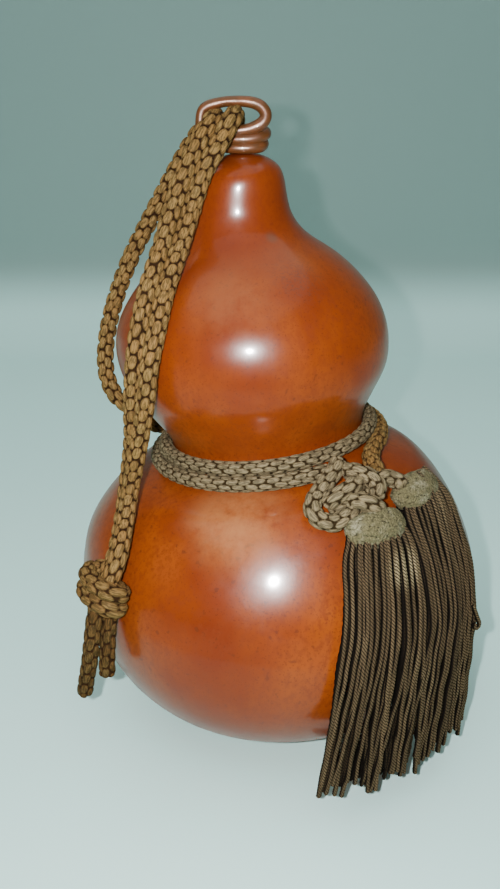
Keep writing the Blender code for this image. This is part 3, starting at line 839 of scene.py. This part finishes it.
class GOURD_OT_cords(Operator):
    """Braid the two cords that hang from the loop, the knot that ends them and the cut ends"""

    bl_idname = "gourd.cords"
    bl_label = "Cords and end knot"

    def execute(self, context):
        settings = context.scene.gourd_cords
        look = braid_look("cord_braid", tuple(settings.light), tuple(settings.dark),
                          (0.26, 0.125, 0.034))
        # The cut ends are a darker colour.
        darker_end_look = braid_look("cord_end_braid", dim(settings.light, 0.42), tuple(settings.dark),
                            (0.12, 0.048, 0.012))
        tight = braid_look("end_knot_braid", dim(settings.light, 0.8), tuple(settings.dark),
                           (0.17, 0.075, 0.02))
        size, columns, plait = settings.cord_radius, settings.columns, settings.plait

        coil = curve_points(end_knot_coil(), KNOT_STEP)
        knot = braid(coil, size, columns, plait * 0.95, KNOT_RELIEF, SEEDS["end_knot"])
        end_knot = put_on(tubes_object("end_knot_braid", [knot], tight), "cord", "end_knot")

        routes = {"cord_left": left_route(), "cord_right": right_route()}
        ends = {"cord_left": LEFT_END, "cord_right": RIGHT_END}
        for k, (node, route) in enumerate(routes.items()):
            end_node = node.replace("cord", "cord_end")
            tail = braid(curve_points(ends[node], KNOT_STEP), size * 0.92, columns, plait * 1.1,
                         KNOT_RELIEF, SEEDS["cord_end"] + k)
            tail = put_on(tubes_object(end_node + "_braid", [tail], darker_end_look), "cord", end_node)
            points = curve_points(route, CORD_STEP)
            cord = braid(points, size, columns, plait, CORD_RELIEF, SEEDS["cord"] + k)
            cord = put_on(tubes_object(node + "_braid", [cord], look), "cord", node)
        return {"FINISHED"}


def band_point(azimuth):
    """The band's middle line: the lower row, a step up behind the waist, then the upper row."""
    t = min(max((BAND_STEP_UP - azimuth) / (BAND_STEP_UP - BAND_STEP_END), 0.0), 1.0)
    t = t * t * (3 - 2 * t)
    radius, height = (a + (b - a) * t for a, b in zip(LOWER_ROW, UPPER_ROW))
    return ring_point(azimuth, radius, height)


class GOURD_OT_band(Operator):
    """Braid the band that is bound one and a half times round the waist, and its knot in front"""

    bl_idname = "gourd.band"
    bl_label = "Waist band and knot"

    def execute(self, context):
        settings = context.scene.gourd_cords
        # The band's gap colour is painted shade.
        look = braid_look("band_braid", tuple(settings.band), (0.036, 0.021, 0.007),
                          (0.24, 0.18, 0.095))
        turns = np.arange(BAND_START, BAND_END - 1, -4.0)
        points = curve_points([band_point(a) for a in turns], BAND_STEP)
        band = braid(points, settings.band_radius, settings.columns + 2, BAND_PLAIT * MM,
                     BAND_RELIEF, SEEDS["band"], 6)
        put_on(tubes_object("waist_band_braid", [band], look), "band", "waist_band")
        strands = [braid(curve_points(route, KNOT_STEP), settings.knot_radius, settings.columns,
                         WAIST_KNOT_PLAIT * MM, KNOT_RELIEF, SEEDS["waist_knot"] + k)
                   for k, route in enumerate(WAIST_STRANDS.values())]
        put_on(tubes_object("waist_knot_braid", strands, look), "band", "waist_knot")
        return {"FINISHED"}


def string_point(tassel, across, height, clear, sway, fan):
    """A place on a tassel's skirt. Across runs from -1 to 1, and height from the head down."""
    head_azimuth, head_height, head_spread, bend = tassel["strings"]
    middle, half = tassel["skirt"]
    fall = min(max((head_height - height) / (head_height - BULB_HEIGHT), 0.0), 1.0)
    spread = half * (head_spread + (1 - head_spread) * min(1.0, 1.3 * fall))
    low = max(0.0, 1 - height / BULB_HEIGHT)
    azimuth = head_azimuth + (middle - head_azimuth) * fall**bend + (tassel["sway"] + sway) * low
    azimuth += across * (spread + (tassel["fan"] + fan) * low)
    if height > BULB_HEIGHT:
        return skin_point(azimuth, height, clear)
    hang = ring_point(azimuth, BULB_RADIUS + clear, BULB_HEIGHT)
    return hang + Vector((0.0, 0.0, height - BULB_HEIGHT))


def tassel_strings(tassel, settings, seed):
    """Three layers of twisted strings, each string with its own sway and length."""
    chance = np.random.default_rng(seed)
    made = []
    top = tassel["strings"][1]
    for layer, (clear, wide, shade, step, sides) in enumerate(STRING_LAYERS):
        outer = layer == len(STRING_LAYERS) - 1
        for k in range(settings.strings):
            across = wide * (2 * (k + 0.5 * (layer % 2)) / (settings.strings - 0.5) - 1)
            across += chance.normal(0, 0.022)
            end = tassel["ends"] + 8.5 * chance.random() ** 1.3 + (0 if outer else 2)
            sway, fan = chance.normal(0, 1.9), chance.normal(0.6, 1.8)
            if outer and k == 0:
                sway -= 3.0
            wave, phase = chance.uniform(0.2, 1.0), chance.uniform(0, 2 * pi)
            heights = np.linspace(top + 3.5, end, 28)
            away = clear + 0.35 * chance.normal()
            route = []
            for height in heights:
                low = (top - height) / (top - end)
                at_head = exp(-(max(top - height, 0) / 9) ** 2)
                round_off = 1 - 0.40 * at_head * min(abs(across), 1) ** 2
                gather = 1 - 0.32 * min(max((height - top + 4.5) / 8, 0), 1)
                bulge = 1.5 * (layer + 1) * at_head
                shake = 0.22 * sin(1.7 * phase + 31 * low)
                route.append(string_point(
                    tassel, gather * across + 0.04 * wave * sin(phase + 5 * low), height,
                    (away + bulge) * round_off + 0.5 * wave * sin(phase + 4 * low) * low + shake,
                    sway, fan))
            # A random tone times the layer's painted shade.
            tone_and_shade = shade * (0.72 + 0.28 * chance.random())
            made.append(plied(curve_points(route, step), settings.string_radius, settings.lay,
                              settings.plies, sides, phase, chance.random(), tone_and_shade))
    for route in tassel["strays"]:
        made.append(plied(curve_points(route, step), settings.string_radius, settings.lay,
                          settings.plies, sides, 0.0, 0.0, 1.0))
    return made


def even_directions(count, seed):
    """Directions spread evenly over a sphere, each pushed a little off its place."""
    turn = np.arange(count) * pi * (3 - 5**0.5)
    rise = 1 - (2 * np.arange(count) + 1) / count
    flat = np.sqrt(1 - rise**2)
    spots = np.stack([flat * np.cos(turn), flat * np.sin(turn), rise], axis=1)
    spots += np.random.default_rng(seed).normal(0, 0.022, spots.shape)
    return spots / np.linalg.norm(spots, axis=1)[:, None]


def tassel_cap(name, tassel, look):
    """The looped cap over a tassel's head: a dome shaped from a sphere and raised into loops."""
    middle, right, out, up = knot_frame(*tassel["head"], CAP_CLEARANCE)
    select_only()
    bpy.ops.mesh.primitive_uv_sphere_add(segments=160, ring_count=96, radius=1.0)
    cap = bpy.context.object
    cap.name = cap.data.name = name
    spots = np.zeros(len(cap.data.vertices) * 3, np.float32)
    cap.data.vertices.foreach_get("co", spots)
    spots = spots.reshape(-1, 3).astype(float)
    loop_places = even_directions(CAP_LOOPS, SEEDS["cap"])
    nearest = np.sqrt(np.clip(2 - 2 * spots @ loop_places.T, 0, None)).min(axis=1)
    loops = np.sqrt(np.clip(1 - (nearest / LOOP_REACH) ** 2, 0, 1))
    low = np.clip(-spots[:, 2], 0, 1)
    flat = np.linalg.norm(spots[:, :2], axis=1)
    wider = np.where(flat > 1e-6, (1 - 0.22 * low**2) / np.maximum(flat, 1e-6), 1.0)
    skirt = np.clip(1 - (low / 0.8) ** 6, 0, 1) * (low > 0)
    spots[:, :2] *= (1 + skirt * (wider - 1))[:, None]
    axes = np.array([axis * half for axis, half in zip((right, out, up), CAP_HALVES)])
    placed = np.array(middle) + (spots * (1.0 + LOOP_RISE * loops)[:, None]) @ axes
    cap.data.vertices.foreach_set("co", (placed * MM).astype(np.float32).ravel())
    cap.data.attributes.new("depth", "FLOAT", "POINT").data.foreach_set(
        "value", loops.astype(np.float32))
    cap.data.materials.append(look)
    cap.data.shade_smooth()
    return cap


class GOURD_OT_tassels(Operator):
    """Hang the two tassels of twisted strings under their looped caps"""

    bl_idname = "gourd.tassels"
    bl_label = "Tassels"

    def execute(self, context):
        settings = context.scene.gourd_tassels
        strings, cap = string_look(settings), cap_look(settings)
        for k, (node, tassel) in enumerate(TASSELS.items()):
            hung = tassel_strings(tassel, settings, SEEDS["tassel"] + k)
            put_on(tubes_object(node + "_strings", hung, strings), "tassel", node)
            put_on(tassel_cap(node + "_cap", tassel, cap), "tassel", node)
        return {"FINISHED"}


class GOURD_OT_loop(Operator):
    """Bend the hanging loop's rod and set its foot in the neck"""

    bl_idname = "gourd.hanging_loop"
    bl_label = "Hanging loop"

    def execute(self, context):
        settings = context.scene.gourd_body
        points = curve_points(ROD_ROUTE, 0.5)
        count, sides = len(points), 24
        run = np.linspace(0, 1, count)
        swell = 1 + 0.03 * np.sin(37 * run) + 0.02 * np.sin(91 * run + 1)
        off_bend = (points[:, 0] / MM - ROD_BEND) / ROD_BEND_REACH
        swell += ROD_BEND_SWELL * np.exp(-off_bend**2)
        size = settings.rod_radius * swell[:, None] * np.ones((1, sides))
        size[:12] *= np.linspace(0.85, 1, 12)[:, None]
        size[[0, -1]] *= 0.75
        rod = sweep(points, size, np.ones((count, sides)), 0.5)
        put_on(tubes_object("loop_rod", [rod], rod_look(settings)), "loop_rod", "hanging_loop")
        return {"FINISHED"}


def gourd_rings():
    """The gourd's rings from the foot up: centre, radius and tilt."""
    heights = [BULB_HEIGHT * (1 - cos(pi / 2 * k / RINGS_BELOW)) for k in range(RINGS_BELOW)]
    heights += list(np.linspace(BULB_HEIGHT, OUTLINE[-1][0], RINGS_ABOVE))
    rings = [(height, skin_radius(height)) for height in heights]
    rings = [(0.0, radius) for radius in FOOT_RADII] + rings + [(NECK_TOP, NECK_END_RADIUS)]
    for height, radius in rings:
        yield ring_point(0, 0, height) * MM, radius * MM, read_table(SPINE, height, 2)


class GOURD_OT_body(Operator):
    """Draw the gourd out ring by ring from a circle, smooth it and drill it for the loop's foot"""

    bl_idname = "gourd.body"
    bl_label = "Gourd"

    def execute(self, context):
        settings = context.scene.gourd_body
        grow = 3 / (2 + cos(2 * pi / settings.sides))  # smoothing draws a ring in by this share
        rings = list(gourd_rings())
        _, size, lean = rings[0]
        select_only()
        bpy.ops.mesh.primitive_circle_add(vertices=settings.sides, radius=size * grow)
        gourd = context.object
        gourd.name = gourd.data.name = "gourd_body"
        bpy.ops.object.mode_set(mode="EDIT")
        bpy.ops.mesh.select_all(action="SELECT")
        here = rings[0][0]
        for centre, radius, tilt in rings[1:]:
            bpy.ops.mesh.extrude_region_move(
                TRANSFORM_OT_translate={"value": tuple(centre - here)})
            bpy.ops.transform.resize(value=(radius / size,) * 3, center_override=tuple(centre))
            if abs(tilt - lean) > 1e-7:
                bpy.ops.transform.rotate(value=tilt - lean, orient_axis="Y",
                                         center_override=tuple(centre))
            here, size, lean = centre, radius, tilt
        bpy.ops.mesh.merge(type="CENTER")
        bpy.ops.mesh.select_all(action="DESELECT")
        bm = bmesh.from_edit_mesh(gourd.data)
        for vert in bm.verts:
            vert.select = vert.is_boundary
        bm.select_flush(True)
        bmesh.update_edit_mesh(gourd.data)
        bpy.ops.mesh.edge_face_add()
        bpy.ops.mesh.select_all(action="SELECT")
        bpy.ops.mesh.normals_make_consistent(inside=False)
        bpy.ops.object.mode_set(mode="OBJECT")
        smooth = gourd.modifiers.new("smooth", "SUBSURF")
        smooth.levels = smooth.render_levels = 2
        bpy.ops.object.modifier_apply(modifier=smooth.name)

        foot = Vector(ROD_ROUTE[0]) * MM
        select_only()
        bpy.ops.mesh.primitive_cylinder_add(vertices=48, radius=FOOT_HOLE * MM, depth=20 * MM,
                                            location=foot + Vector((0, 0, 9.7 * MM)))
        drill = context.object
        select_only(gourd)
        hole = gourd.modifiers.new("foot hole", "BOOLEAN")
        hole.object, hole.operation = drill, "DIFFERENCE"
        bpy.ops.object.modifier_apply(modifier=hole.name)
        bpy.data.objects.remove(drill)
        gourd.data.shade_smooth()
        gourd.data.materials.clear()
        gourd.data.materials.append(skin_look(settings))
        put_on(gourd, "gourd_skin", "gourd")
        return {"FINISHED"}


class GOURD_PT_panel(Panel):
    """Lists the pieces in the 3D view's sidebar."""

    bl_idname = "GOURD_PT_panel"
    bl_label = "Dried bottle gourd"
    bl_space_type = "VIEW_3D"
    bl_region_type = "UI"
    bl_category = "Gourd"

    def draw(self, context):
        for operator in OPERATORS:
            self.layout.operator(operator.bl_idname)
        for group in SETTINGS:
            owner = getattr(context.scene, group)
            for key in owner.bl_rna.properties.keys():
                if key not in ("rna_type", "name"):
                    self.layout.prop(owner, key)


OPERATORS = (GOURD_OT_stage, GOURD_OT_cords, GOURD_OT_band, GOURD_OT_tassels, GOURD_OT_loop,
             GOURD_OT_body)
SETTINGS = {"gourd_stage": StageSettings, "gourd_cords": CordSettings,
            "gourd_tassels": TasselSettings, "gourd_body": GourdSettings}


def register():
    for group in (*SETTINGS.values(), *OPERATORS, GOURD_PT_panel):
        bpy.utils.register_class(group)
    for name, group in SETTINGS.items():
        setattr(bpy.types.Scene, name, PointerProperty(type=group))


def unregister():
    for name in SETTINGS:
        delattr(bpy.types.Scene, name)
    for group in (GOURD_PT_panel, *OPERATORS[::-1], *SETTINGS.values()):
        bpy.utils.unregister_class(group)


def main():
    """Build every piece."""
    register()
    bpy.ops.gourd.stage()
    bpy.ops.gourd.cords()
    bpy.ops.gourd.band()
    bpy.ops.gourd.tassels()
    bpy.ops.gourd.hanging_loop()
    bpy.ops.gourd.body()
    select_only()
    boxes = {"cad": CAD_BOX, "visual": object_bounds()}
    {key: [list(corner) for corner in box] for key, box in boxes.items()}


if __name__ == "__main__":
    main()
